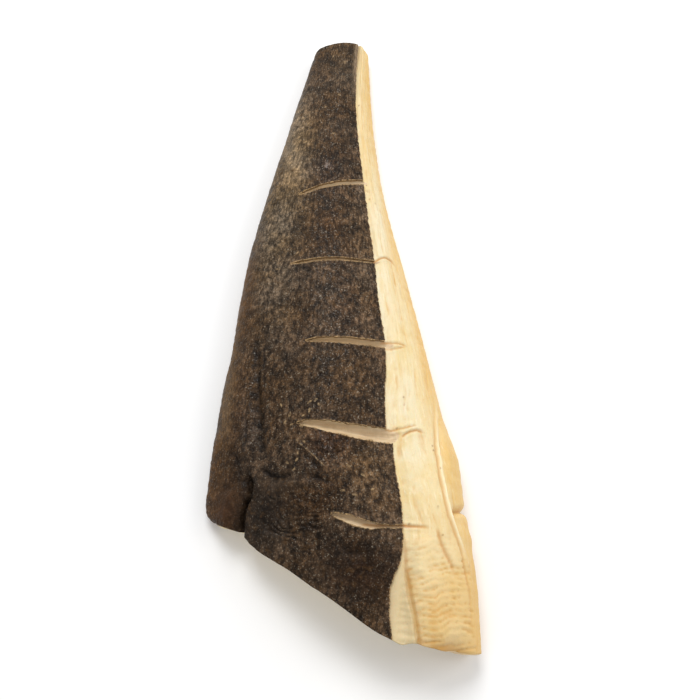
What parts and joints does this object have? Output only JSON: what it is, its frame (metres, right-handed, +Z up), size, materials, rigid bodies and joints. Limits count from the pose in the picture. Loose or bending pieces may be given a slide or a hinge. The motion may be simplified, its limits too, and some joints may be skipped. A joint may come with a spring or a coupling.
{
  "type": "smoked fish",
  "caption": "Tapered tail portion of a smoked flatfish fillet, flesh down, with scored dark skin on top and bare golden flesh along one side.",
  "frame": {"origin": "middle of the portion's box in plan, at the height of the surface that the flesh rests on", "axes": "+X across the portion, from the belly flap at the left to the bare flesh at the right; +Y along it, from the cut front end to the tail; +Z up, out of the skin"},
  "size_m": [0.1204, 0.3124, 0.0358],
  "materials": {
    "flesh": "satin",
    "skin": "satin"
  },
  "bodies": {
    "root": {"flesh": "flesh", "skin": "skin"}
  },
  "joints": []
}
